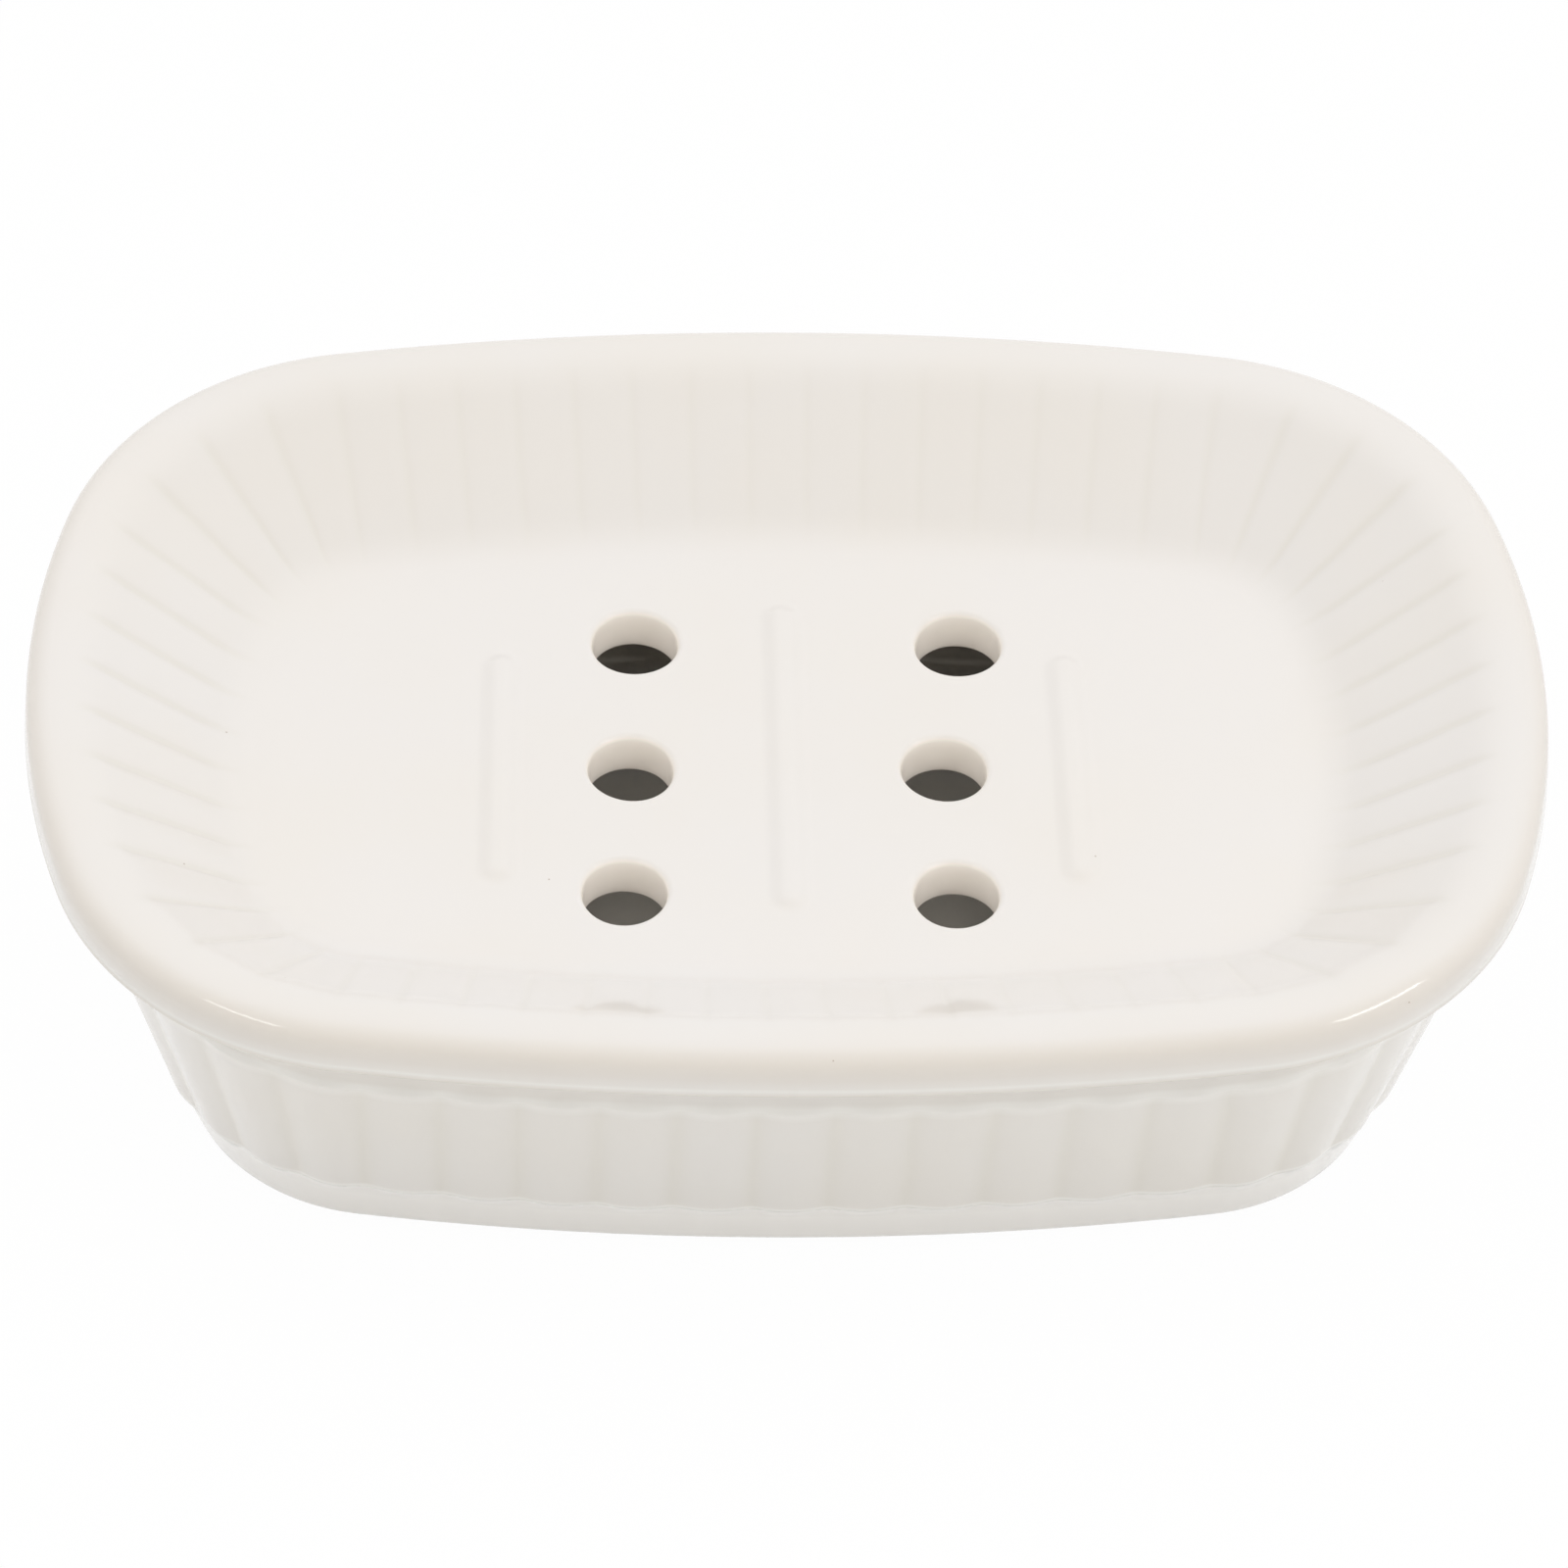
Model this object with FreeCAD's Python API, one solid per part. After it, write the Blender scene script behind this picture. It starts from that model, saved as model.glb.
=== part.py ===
import FreeCAD, Part
import math
import os

V = FreeCAD.Vector
UP = V(0, 0, 1)

# A two-tier draining soap dish in glazed stoneware: a tray with drain holes rests by its rim on a fluted
# drip base. X is the long axis, -Y the front, Z = 0 the surface that the dish stands on. Millimetres.

# Plan of the rim: an oval of eight tangent arcs, two ends, two long sides and four corners
dish_length = 140.0
dish_width = 95.4
end_radius = 80.0
side_radius = 280.0
corner_radius = 31.0

# Heights
dish_height = 38.0
rim_height = 4.7
tray_depth = 9.8
tray_floor = 4.6
band_height = 4.9
foot_height = 6.4
foot_ring_height = 1.5
base_floor = 4.0

# Tray: how far its walls stand in from the rim's outline, and its rounded edges
rim_width = 4.5
floor_inset = 20.0
rim_top_round = 2.2
rim_low_round = 0.6
rim_inner_round = 4.0
floor_round = 5.0
bowl_lean = 7.2
bowl_round = 4.0
round_steps = 3

# Tray wall: shallow lobes that run down from the rim and fade out below it
wall_lobes = 60
wall_lobe_rise = 0.45
wall_fade = 0.7

# Drain holes: two columns of three, and how far each hand-cut hole lies from its place in the grid
hole_diameter = 7.9
hole_column_gap = 29.8
hole_row_pitch = 16.0
hole_edge_round = 0.6
hole_grid_forward = 1.4
hole_drift = [(1.2, 0.2), (0.6, -0.1), (-0.2, 0.2), (1.5, 0.0), (-0.3, -0.1), (0.3, -0.1)]

# Ridges that hold the soap off the floor: a long one in the middle and a shorter one at each side
ridge_width = 2.3
ridge_height = 0.7
ridge_round = 0.6
middle_ridge_length = 42.0
side_ridge_length = 32.0
side_ridge_offset = 26.4
side_ridge_forward = 1.5
side_ridge_splay = 1.1

# Drip base: how far its outside steps and leans in from the rim's outline, and how much further in its two
# ends stand, at the band and at the foot
band_setback = 2.4
band_lean = 0.8
flute_lean = 7.1
foot_step = 0.8
foot_lean = 1.6
band_end_setback = 1.7
foot_end_setback = 0.3
band_round = 0.8
foot_round = 0.8

# Flutes of the base
flute_count = 50
flute_rise = 0.6
flute_end = 0.6

# Walls and fits
base_wall = 3.2
cavity_round = 5.0
foot_ring_width = 5.0
seat_clearance = 0.7

# Grip pads on the underside
pad_diameter = 10.0
pad_proud = 0.5
pad_round = 0.6
pad_edge_gap = 1.5

# Levels, from the ground up
foot_z = pad_proud
underside_z = foot_z + foot_ring_height
cavity_z = underside_z + base_floor
seat_z = dish_height - rim_height
flute_top_z = seat_z - band_height
flute_low_z = foot_z + foot_height
floor_z = dish_height - tray_depth
bowl_z = floor_z - tray_floor

# Insets from the rim's outline
band_low_inset = band_setback + band_lean
flute_low_inset = band_low_inset + flute_lean
foot_top_inset = flute_low_inset + foot_step
foot_low_inset = foot_top_inset + foot_lean
mouth_inset = band_setback + base_wall
cavity_low_inset = foot_top_inset + base_wall
recess_inset = foot_low_inset + foot_ring_width
bowl_top_inset = mouth_inset + seat_clearance
bowl_low_inset = bowl_top_inset + bowl_lean
core_inset = floor_inset + (corner_radius - floor_inset) / 2


def oval_arcs(end_setback):
    # Eight arcs anticlockwise from the right end: centre, radius, first and last angle. The ends stand in
    # from the rim's by a setback
    end_x = dish_length / 2 - end_setback - end_radius
    side_y = dish_width / 2 - side_radius
    # A corner's centre lies where it keeps both neighbours tangent
    to_end = end_radius - corner_radius
    to_side = side_radius - corner_radius
    apart = math.hypot(end_x, side_y)
    along = (to_end ** 2 - to_side ** 2 + apart ** 2) / (2 * apart)
    across = math.sqrt(to_end ** 2 - along ** 2)
    step = V(-end_x, side_y, 0) / apart
    corner = V(end_x, 0, 0) + step * along + V(-step.y, step.x, 0) * across
    low = math.atan2(corner.y, corner.x - end_x)
    high = math.atan2(corner.y - side_y, corner.x)
    turn = math.pi
    return [
        (V(end_x, 0, 0), end_radius, -low, low),
        (corner, corner_radius, low, high),
        (V(0, side_y, 0), side_radius, high, turn - high),
        (V(-corner.x, corner.y, 0), corner_radius, turn - high, turn - low),
        (V(-end_x, 0, 0), end_radius, turn - low, turn + low),
        (V(-corner.x, -corner.y, 0), corner_radius, turn + low, turn + high),
        (V(0, -side_y, 0), side_radius, turn + high, 2 * turn - high),
        (V(corner.x, -corner.y, 0), corner_radius, 2 * turn - high, 2 * turn - low),
    ]


rim_plan = oval_arcs(0)
band_plan = oval_arcs(band_end_setback)
foot_plan = oval_arcs(foot_end_setback)


def place(arc, angle, inset, z):
    # The point at an angle of one arc, moved in from the plan's outline
    centre, radius = arc[0], arc[1]
    reach = radius - inset
    return centre + V(reach * math.cos(angle), reach * math.sin(angle), z)


def oval_wire(plan, inset, z):
    edges = []
    for arc in plan:
        first, last = arc[2], arc[3]
        ends = [place(arc, angle, inset, z) for angle in (first, (first + last) / 2, last)]
        edges.append(Part.Arc(*ends).toShape())
    return Part.Wire(edges)


def oval_prism(plan, inset, low_z, high_z):
    return Part.Face(oval_wire(plan, inset, low_z)).extrude(UP * (high_z - low_z))


def rounded_face(corners):
    # A closed outline of corners (inset, height, radius), each corner turned by its own tangent arc
    points = [V(-inset, 0, z) for inset, z, radius in corners]
    edges = []
    starts = []
    stops = []
    for index, corner in enumerate(corners):
        here = points[index]
        back = (points[index - 1] - here).normalize()
        onward = (points[(index + 1) % len(points)] - here).normalize()
        half = back.getAngle(onward) / 2
        radius = corner[2]
        trim = radius / math.tan(half)
        starts.append(here + back * trim)
        stops.append(here + onward * trim)
        if radius > 0:
            middle = here + (back + onward).normalize() * (radius / math.sin(half) - radius)
            edges.append(Part.Arc(starts[-1], middle, stops[-1]).toShape())
    for index, stop in enumerate(stops):
        edges.append(Part.LineSegment(stop, starts[(index + 1) % len(starts)]).toShape())
    return Part.Face(Part.Wire(Part.__sortEdges__(edges)))


def oval_solid(plan, outer):
    # A solid whose outside follows corners from top to bottom: each arc of the plan turns the profile
    # about its own centre, and a plain core fills the middle
    top_z, low_z = outer[0][1], outer[-1][1]
    profile = rounded_face(outer + [(core_inset, low_z, 0), (core_inset, top_z, 0)])
    pieces = [oval_prism(plan, core_inset, low_z, top_z)]
    for centre, radius, first, last in plan:
        wedge = profile.copy()
        wedge.translate(V(radius, 0, 0))
        wedge.rotate(V(0, 0, 0), UP, math.degrees(first))
        wedge.translate(centre)
        pieces.append(wedge.revolve(centre, UP, math.degrees(last - first)))
    return pieces[0].fuse(pieces[1:]).removeSplitter()


def stations(plan, count, inset):
    # Places at equal half steps along the oval at an inset: lobe middles and grooves by turns, from a
    # lobe's middle at the front centre
    lengths = [(arc[1] - inset) * (arc[3] - arc[2]) for arc in plan]
    total = sum(lengths)
    front = sum(lengths[:6]) + lengths[6] / 2
    places = []
    for half_step in range(2 * count):
        along = (front + half_step * total / (2 * count)) % total
        for arc, length in zip(plan, lengths):
            if along <= length:
                places.append((arc, arc[2] + along / (arc[1] - inset)))
                break
            along -= length
    return places


def lobed_wire(places, inset, rise, z):
    # One arc for each lobe, from groove to groove, pushed out by its rise at the middle
    edges = []
    for index in range(0, len(places), 2):
        first = place(*places[index - 1], inset, z)
        middle = place(*places[index], inset - rise, z)
        last = place(*places[index + 1], inset, z)
        edges.append(Part.Arc(first, middle, last).toShape())
    return Part.Wire(edges)


def lobed_solid(count, pitch_inset, levels):
    # A ruled solid through lobed outlines; levels are (plan, inset, rise, height)
    wires = []
    for plan, inset, rise, z in levels:
        wires.append(lobed_wire(stations(plan, count, pitch_inset), inset, rise, z))
    return Part.makeLoft(wires, True, True)


def round_edges(shape, radius, wanted):
    return shape.makeFillet(radius, [edge for edge in shape.Edges if wanted(edge)])


def drain_hole(index):
    # A cutter for one hole: the bore, and a ring that rounds its upper edge
    column, row = divmod(index, 3)
    drift_x, drift_y = hole_drift[index]
    x = (column - 0.5) * hole_column_gap + drift_x
    y = (1 - row) * hole_row_pitch - hole_grid_forward + drift_y
    bore = hole_diameter / 2
    lip = bore + hole_edge_round
    lip_foot = V(x, y, floor_z - hole_edge_round)
    shaft = Part.makeCylinder(bore, 2 * tray_floor, V(x, y, bowl_z - tray_floor / 2), UP)
    flare = Part.makeCylinder(lip, tray_floor, lip_foot, UP)
    return shaft.fuse(flare.cut(Part.makeTorus(lip, hole_edge_round, lip_foot, UP)))


def ridge(length, x, y, splay):
    # A round-ended bar with its upper edge rounded, sunk a little into the floor
    radius = ridge_width / 2
    straight = length / 2 - radius
    sunk = tray_floor / 2
    front_right, back_right = V(radius, -straight, 0), V(radius, straight, 0)
    back_left, front_left = V(-radius, straight, 0), V(-radius, -straight, 0)
    outline = Part.Wire([
        Part.LineSegment(front_right, back_right).toShape(),
        Part.Arc(back_right, V(0, straight + radius, 0), back_left).toShape(),
        Part.LineSegment(back_left, front_left).toShape(),
        Part.Arc(front_left, V(0, -straight - radius, 0), front_right).toShape(),
    ])
    bar = Part.Face(outline).extrude(UP * (sunk + ridge_height))
    crown = min(ridge_round, 0.9 * ridge_height, 0.9 * radius)
    bar = round_edges(bar, crown, lambda edge: edge.BoundBox.ZMin > sunk)
    bar.rotate(V(0, 0, 0), UP, splay)
    bar.translate(V(x, y, floor_z - sunk))
    return bar


def soap_tray():
    rim = oval_solid(rim_plan, [(0, dish_height, rim_top_round), (0, seat_z, rim_low_round)])
    bowl = oval_solid(band_plan, [
        (bowl_top_inset, seat_z + rim_height / 4, 0),
        (bowl_top_inset, seat_z, 0),
        (bowl_low_inset, bowl_z, bowl_round),
    ])
    # The well: a flat floor, a cove, a wall of lobes that fade out below the rim, and the rim's rounded edge
    run = floor_inset - rim_width
    slope = math.atan2(tray_depth, run)
    cove_tangent = floor_round * math.tan(slope / 2)
    rim_tangent = rim_inner_round * math.tan(slope / 2)
    levels = []
    for step in range(round_steps + 1):
        turn = slope * step / round_steps
        inset = floor_inset + cove_tangent - floor_round * math.sin(turn)
        z = floor_z + floor_round * (1 - math.cos(turn))
        levels.append((rim_plan, inset, -wall_lobe_rise * step / round_steps, z))
    fade_drop = rim_tangent * math.sin(slope) + wall_fade
    fade_inset = rim_width + fade_drop / math.tan(slope)
    levels.append((rim_plan, fade_inset, -wall_lobe_rise, dish_height - fade_drop))
    for step in range(round_steps + 1):
        turn = slope * (1 - step / round_steps)
        inset = rim_width - rim_tangent + rim_inner_round * math.sin(turn)
        levels.append((rim_plan, inset, 0, dish_height - rim_inner_round * (1 - math.cos(turn))))
    well = lobed_solid(wall_lobes, (rim_width + floor_inset) / 2, levels)
    tray = rim.fuse(bowl).cut(well)
    tray = tray.cut([drain_hole(index) for index in range(len(hole_drift))])
    ridges = [ridge(middle_ridge_length, 0, 0, 0)]
    for side in (-1, 1):
        x, turn = side * side_ridge_offset, side * side_ridge_splay
        ridges.append(ridge(side_ridge_length, x, -side_ridge_forward, turn))
    return tray.fuse(ridges)


def drip_base():
    band = oval_solid(band_plan, [
        (band_setback, seat_z, band_round),
        (band_low_inset, flute_top_z - flute_end, 0),
    ])
    flutes = lobed_solid(flute_count, band_low_inset + flute_lean / 2, [
        (foot_plan, foot_top_inset, flute_rise / 2, flute_low_z),
        (foot_plan, flute_low_inset, flute_rise, flute_low_z + flute_end),
        (band_plan, band_low_inset, flute_rise, flute_top_z - flute_end),
        (band_plan, band_low_inset, flute_rise / 4, flute_top_z),
    ])
    foot = oval_solid(foot_plan, [
        (foot_top_inset, flute_low_z + flute_end, 0),
        (foot_low_inset, foot_z, foot_round),
    ])
    cavity = oval_solid(band_plan, [
        (mouth_inset, dish_height, 0),
        (mouth_inset, seat_z, 0),
        (cavity_low_inset, cavity_z, cavity_round),
    ])
    recess = oval_prism(foot_plan, recess_inset, 0, underside_z)
    return flutes.fuse([band, foot]).cut([cavity, recess])


def grip_pad(arc):
    # A soft disc on the recessed underside, in one corner of the foot ring
    radius = pad_diameter / 2
    spot = place(arc, (arc[2] + arc[3]) / 2, recess_inset + pad_edge_gap + radius, 0)
    disc = Part.makeCylinder(radius, underside_z, spot, UP)
    return round_edges(disc, pad_round, lambda edge: edge.BoundBox.ZMax < pad_round)


def main():
    nodes = {"soap_tray": soap_tray(), "drip_base": drip_base()}
    corners = {"back_right": 1, "back_left": 3, "front_left": 5, "front_right": 7}
    for corner, index in corners.items():
        nodes["grip_pad_" + corner] = grip_pad(foot_plan[index])
    os.makedirs("parts", exist_ok=True)
    for name, shape in nodes.items():
        print(name, len(shape.Solids), shape.isValid(), round(shape.Volume, 1))
        shape.exportStep("parts/" + name + ".step")


main()
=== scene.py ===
import bpy
import numpy as np
from mathutils import Matrix, Vector


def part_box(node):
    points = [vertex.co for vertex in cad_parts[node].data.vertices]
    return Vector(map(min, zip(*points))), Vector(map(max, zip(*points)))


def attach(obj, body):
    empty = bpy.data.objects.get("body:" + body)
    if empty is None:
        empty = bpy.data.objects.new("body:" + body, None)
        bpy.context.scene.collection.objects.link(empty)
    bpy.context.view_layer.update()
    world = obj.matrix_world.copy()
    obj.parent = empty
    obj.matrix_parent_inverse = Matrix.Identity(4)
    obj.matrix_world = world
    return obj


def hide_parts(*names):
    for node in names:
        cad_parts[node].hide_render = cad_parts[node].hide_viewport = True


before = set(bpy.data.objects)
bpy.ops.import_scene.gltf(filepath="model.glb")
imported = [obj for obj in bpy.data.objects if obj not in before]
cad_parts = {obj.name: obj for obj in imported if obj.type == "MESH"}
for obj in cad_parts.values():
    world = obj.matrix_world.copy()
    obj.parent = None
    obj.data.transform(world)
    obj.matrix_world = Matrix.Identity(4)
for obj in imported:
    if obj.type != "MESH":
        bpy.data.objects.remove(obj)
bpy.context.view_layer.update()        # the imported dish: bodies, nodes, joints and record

mm = 0.001               # shapes are worked out in millimetres, meshes are in metres


def nodeSpan(node):
    # lowest and highest corner of a CAD node, in millimetres
    low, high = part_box(node)
    return np.array(low) / mm, np.array(high) / mm


trayLow, trayHigh = nodeSpan("soap_tray")
baseLow, baseHigh = nodeSpan("drip_base")
print("frame loaded:", len(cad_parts), "nodes")


# Plan of the dish: an oval of two ends, two long sides and four corners. The base's ends stand further in
# than its sides do, by the CAD's setback at the band and by a small one at the foot
dishPlan = {"endRadius": 80.0, "sideRadius": 280.0, "cornerRadius": 31.0, "footSetback": 0.3}
bandInset = trayHigh[1] - baseHigh[1]
bandSetback = trayHigh[0] - baseHigh[0] - bandInset


def unit(vector):
    return vector / np.linalg.norm(vector)


def ovalStations(laps, pitchInset, endSetback):
    # Eight tangent arcs walked anticlockwise by equal lengths at one inset; laps are shares of a lap from
    # the front's middle. Gives each station's arc centre, arc radius and outward direction.
    endR, sideR, cornerR = dishPlan["endRadius"], dishPlan["sideRadius"], dishPlan["cornerRadius"]
    endX, sideY = trayHigh[0] - endSetback - endR, trayHigh[1] - sideR
    apart = np.hypot(endX, sideY)
    toEnd, toSide = endR - cornerR, sideR - cornerR
    along = (toEnd ** 2 - toSide ** 2 + apart ** 2) / (2 * apart)     # where the two tangent circles cross
    across = np.sqrt(toEnd ** 2 - along ** 2)
    step = np.array([-endX, sideY]) / apart
    cornerX, cornerY = np.array([endX, 0]) + step * along + np.array([-step[1], step[0]]) * across
    low = np.arctan2(cornerY, cornerX - endX)
    high = np.arctan2(cornerY - sideY, cornerX)
    centres = np.array([(endX, 0), (cornerX, cornerY), (0, sideY), (-cornerX, cornerY),
                        (-endX, 0), (-cornerX, -cornerY), (0, -sideY), (cornerX, -cornerY)])
    radii = np.array([endR, cornerR, sideR, cornerR] * 2)
    stops = np.array([low, high, np.pi - high, np.pi - low])
    stops = np.concatenate([stops, stops + np.pi])
    starts = np.concatenate([[-low], stops[:-1]])
    lengths = (radii - pitchInset) * (stops - starts)
    ends = np.cumsum(lengths)
    front, last = 6, len(radii) - 1
    walked = (laps * ends[-1] + ends[front - 1] + lengths[front] / 2) % ends[-1]
    arc = np.minimum(np.searchsorted(ends, walked, side="right"), last)
    angle = starts[arc] + (walked - ends[arc] + lengths[arc]) / (radii[arc] - pitchInset)
    return centres[arc], radii[arc], np.stack([np.cos(angle), np.sin(angle)], -1)


def carriedRound(plans, share, insets, heights):
    # A profile carried round two ovals: each point stands in from the outline along its station's direction,
    # and lies between the first plan's place and the second's by its share
    places = [centres + (radii - insets)[..., None] * out for centres, radii, out in plans]
    mixed = places[0] + (places[1] - places[0]) * share[:, None, None]
    return np.concatenate([mixed, heights[..., None]], -1)


def lobeLaps(count, perLobe, crowding):
    # Stations of evenly spaced lobes, crowded at the grooves: t + crowding * sin(2 pi t) / 2 pi within each.
    # Gives shares of a lap and the place within the lobe, 0 at its crest and 0.5 in the groove.
    steps = np.arange(count * perLobe)
    share = (steps % perLobe) / perLobe
    share = share + crowding * np.sin(2 * np.pi * share) / (2 * np.pi)
    return (steps // perLobe + share) / count, share


def lobeSwell(share, sharpness):
    # A row of round lobes: the root of cos squared plus a little, which keeps the grooves between them round
    soft = np.sqrt(np.cos(np.pi * share) ** 2 + sharpness)
    return (soft - np.sqrt(sharpness)) / (np.sqrt(1 + sharpness) - np.sqrt(sharpness))


def nearPlace(inset, height, place, reach):
    # How near each point of a profile is to a place on it: a Gaussian of the inset's and the height's
    # distance, each over its own reach
    return np.exp(-((inset - place[0]) / reach[0]) ** 2 - ((height - place[1]) / reach[1]) ** 2)[:, None]


# How finely every profile is worked out, in millimetres and points
profileSteps = {"fineStep": 0.04, "arcPoints": 33, "blurReach": 4, "fineCrowding": 12.0, "fineReach": 0.45}


def profileLine(corners, count, blur, crowding, fineHeights=()):
    # Corners are (inset, height, rounding, lobe share, second plan's share): straight runs joined by tangent
    # arcs, averaged over a blur length as glaze softens an edge, then stepped so that tight turns and the
    # places near the fine heights get more points
    fineStep = profileSteps["fineStep"]
    arcSteps = np.linspace(0, 1, profileSteps["arcPoints"])[:, None]
    spots = np.array(corners, float)[:, [0, 1, 3, 4]]
    parts = [spots[:1]]
    for index, here in enumerate(spots[1:-1], 1):
        rounding = corners[index][2]
        if rounding == 0:
            parts.append(here[None])
            continue
        back = unit((spots[index - 1] - here)[:2])
        onward = unit((spots[index + 1] - here)[:2])
        half = np.arccos(back @ onward) / 2
        turn = np.pi - 2 * half
        centre = here[:2] + unit(back + onward) * rounding / np.sin(half)
        first = here[:2] + back * rounding / np.tan(half) - centre
        last = here[:2] + onward * rounding / np.tan(half) - centre
        swept = np.sin((1 - arcSteps) * turn) * first + np.sin(arcSteps * turn) * last
        arc = centre + swept / np.sin(turn)
        parts.append(np.hstack([arc, np.broadcast_to(here[2:], (len(arc), 2))]))
    parts.append(spots[-1:])
    line = np.vstack(parts)
    length = np.concatenate([[0], np.cumsum(np.hypot(*np.diff(line[:, :2], axis=0).T))])
    even = np.linspace(0, length[-1], int(length[-1] / fineStep))
    line = np.stack([np.interp(even, length, column) for column in line.T])
    reach = int(profileSteps["blurReach"] * blur / fineStep)
    kernel = np.exp(-0.5 * (np.arange(-reach, reach + 1) * fineStep / blur) ** 2)
    padded = np.pad(line, ((0, 0), (reach, reach)), mode="reflect", reflect_type="odd")
    line = np.stack([np.convolve(row, kernel / kernel.sum(), "valid") for row in padded])
    heading = np.unwrap(np.arctan2(np.gradient(line[1]), np.gradient(line[0])))
    near = np.zeros_like(heading)
    for level in fineHeights:
        near = near + np.exp(-((line[1] - level) / profileSteps["fineReach"]) ** 2)
    turning = crowding * np.abs(np.gradient(heading)) / fineStep
    density = np.cumsum(1 + turning + profileSteps["fineCrowding"] * near)
    picks = np.linspace(density[0], density[-1], count)
    return np.stack([np.interp(picks, density, row) for row in line])


def gridFaces(rows, columns, closed, flip):
    # Quads between the neighbours of a grid, round to the first column again where it is closed
    index = np.arange(rows * columns).reshape(rows, columns)
    if closed:
        index = np.hstack([index, index[:, :1]])
    quads = [index[:-1, :-1], index[:-1, 1:], index[1:, 1:], index[1:, :-1]]
    if flip:
        quads.reverse()
    return np.stack(quads, -1).reshape(-1, 4)


def makePiece(name, patches, body, node, material):
    # Joins patches (points, closed, flip, {attribute: values}) into one mesh; points that are equal to so
    # many digits of a millimetre become one vertex
    mergeDigits = 4
    points, quads, tints, first = [], [], {}, 0
    attributeNames = sorted({key for patch in patches for key in patch[3]})
    for grid, closed, flip, values in patches:
        rows, columns = grid.shape[:2]
        points.append(grid.reshape(-1, 3))
        quads.append(gridFaces(rows, columns, closed, flip) + first)
        for key in attributeNames:
            spread = np.broadcast_to(values.get(key, 0.0), (rows, columns))
            tints.setdefault(key, []).append(spread.ravel())
        first += rows * columns
    points, quads = np.vstack(points), np.vstack(quads)
    rounded = np.round(points, mergeDigits)
    kept, same = np.unique(rounded, axis=0, return_index=True, return_inverse=True)[1:]
    quads = same.ravel()[quads]
    following = np.roll(quads, -1, 1)
    real = quads != following                                   # a pole's quads lose their doubled corner
    sizes = real.sum(1)
    mesh = bpy.data.meshes.new(name)
    mesh.vertices.add(len(kept))
    mesh.vertices.foreach_set("co", (points[kept] * mm).astype(np.float32).ravel())
    mesh.loops.add(int(sizes.sum()))
    mesh.loops.foreach_set("vertex_index", quads[real].astype(np.int32))
    mesh.polygons.add(len(quads))
    mesh.polygons.foreach_set("loop_start", (np.cumsum(sizes) - sizes).astype(np.int32))
    mesh.update(calc_edges=True)
    mesh.validate()
    mesh.shade_smooth()
    for key, parts in tints.items():
        layer = mesh.attributes.new(key, "FLOAT", "POINT")
        layer.data.foreach_set("value", np.concatenate(parts)[kept].astype(np.float32))
    piece = bpy.data.objects.new(name, mesh)
    bpy.context.scene.collection.objects.link(piece)
    mesh.materials.append(material)
    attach(piece, body)
    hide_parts(node)
    print(name, "made:", len(kept), "points,", len(quads), "faces")


class Wire:
    # A node socket that takes part in sums: an expression on values adds Math nodes to its tree
    def __init__(self, tree, socket=None):
        self.tree, self.socket = tree, socket

    def node(self, kind, settings=None, inputs=None, outlet=0):
        made = self.tree.nodes.new(kind)
        for key, value in (settings or {}).items():
            setattr(made, key, value)
        for key, value in (inputs or {}).items():
            if isinstance(value, Wire):
                self.tree.links.new(value.socket, made.inputs[key])
            else:
                made.inputs[key].default_value = value
        return Wire(self.tree, made.outputs[outlet] if made.outputs else None)

    def maths(self, operation, first, second):
        return self.node("ShaderNodeMath", {"operation": operation}, {0: first, 1: second})

    def __add__(self, other):
        return self.maths("ADD", self, other)

    def __radd__(self, other):
        return self.maths("ADD", other, self)

    def __sub__(self, other):
        return self.maths("SUBTRACT", self, other)

    def __rsub__(self, other):
        return self.maths("SUBTRACT", other, self)

    def __mul__(self, other):
        return self.maths("MULTIPLY", self, other)

    def __rmul__(self, other):
        return self.maths("MULTIPLY", other, self)

    def __truediv__(self, other):
        return self.maths("DIVIDE", self, other)

    def __rtruediv__(self, other):
        return self.maths("DIVIDE", other, self)

    def smooth(self, low, high):
        # 0 below low, 1 above high, eased between them
        limits = {0: self, 1: low, 2: high}
        return self.node("ShaderNodeMapRange", {"interpolation_type": "SMOOTHSTEP"}, limits)

    def tint(self, share, first, second):
        # from the first colour to the second by a share: a Mix node's colours are inputs 6 and 7, output 2
        colours = [c if isinstance(c, Wire) else (*c, 1) for c in (first, second)]
        return self.node("ShaderNodeMix", {"data_type": "RGBA"}, {0: share, 6: colours[0], 7: colours[1]}, 2)


def newMaterial(name):
    material = bpy.data.materials.new(name)
    material.use_nodes = True
    material.node_tree.nodes.clear()
    return material, Wire(material.node_tree)


def closeMaterial(wire, shader):
    wire.node("ShaderNodeOutputMaterial", None, {"Surface": shader})


def noise(wire, place, size, detail):
    return wire.node("ShaderNodeTexNoise", None, {"Vector": place, "Scale": 1 / size, "Detail": detail})


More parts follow.
